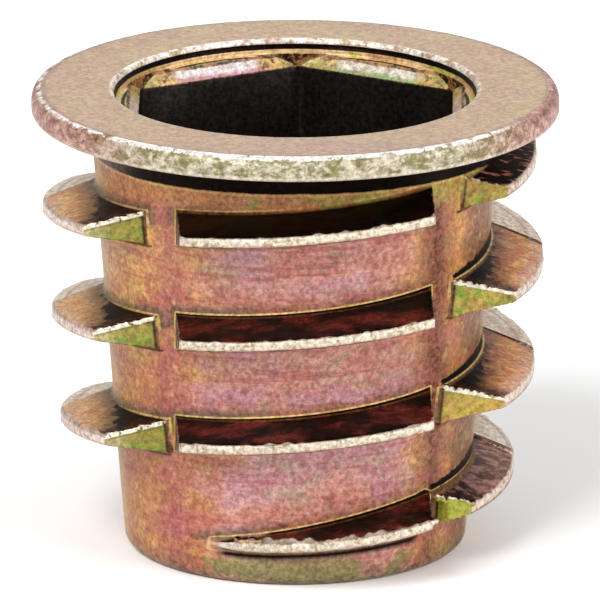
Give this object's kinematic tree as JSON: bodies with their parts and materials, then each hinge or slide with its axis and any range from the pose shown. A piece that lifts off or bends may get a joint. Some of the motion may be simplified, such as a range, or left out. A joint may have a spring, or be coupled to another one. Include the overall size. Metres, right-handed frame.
{
  "type": "threaded insert",
  "caption": "Flanged threaded insert for wood, with a coarse outer thread cast in quarter fins, a hex drive socket under its flange and a machine thread through its lower body.",
  "frame": {"origin": "middle of the small end, on the plane of that end", "axes": "+Z along the axis, from the small end to the flange; -Y towards the fin that holds the start of the wood thread; two corners of the hex socket lie 4 degrees clockwise of +Y and -Y, seen from above"},
  "size_m": [0.0168, 0.0168, 0.015],
  "materials": {
    "casting": "satin yellow chromate over zinc"
  },
  "bodies": {
    "root": {"insert": "casting"}
  },
  "joints": []
}
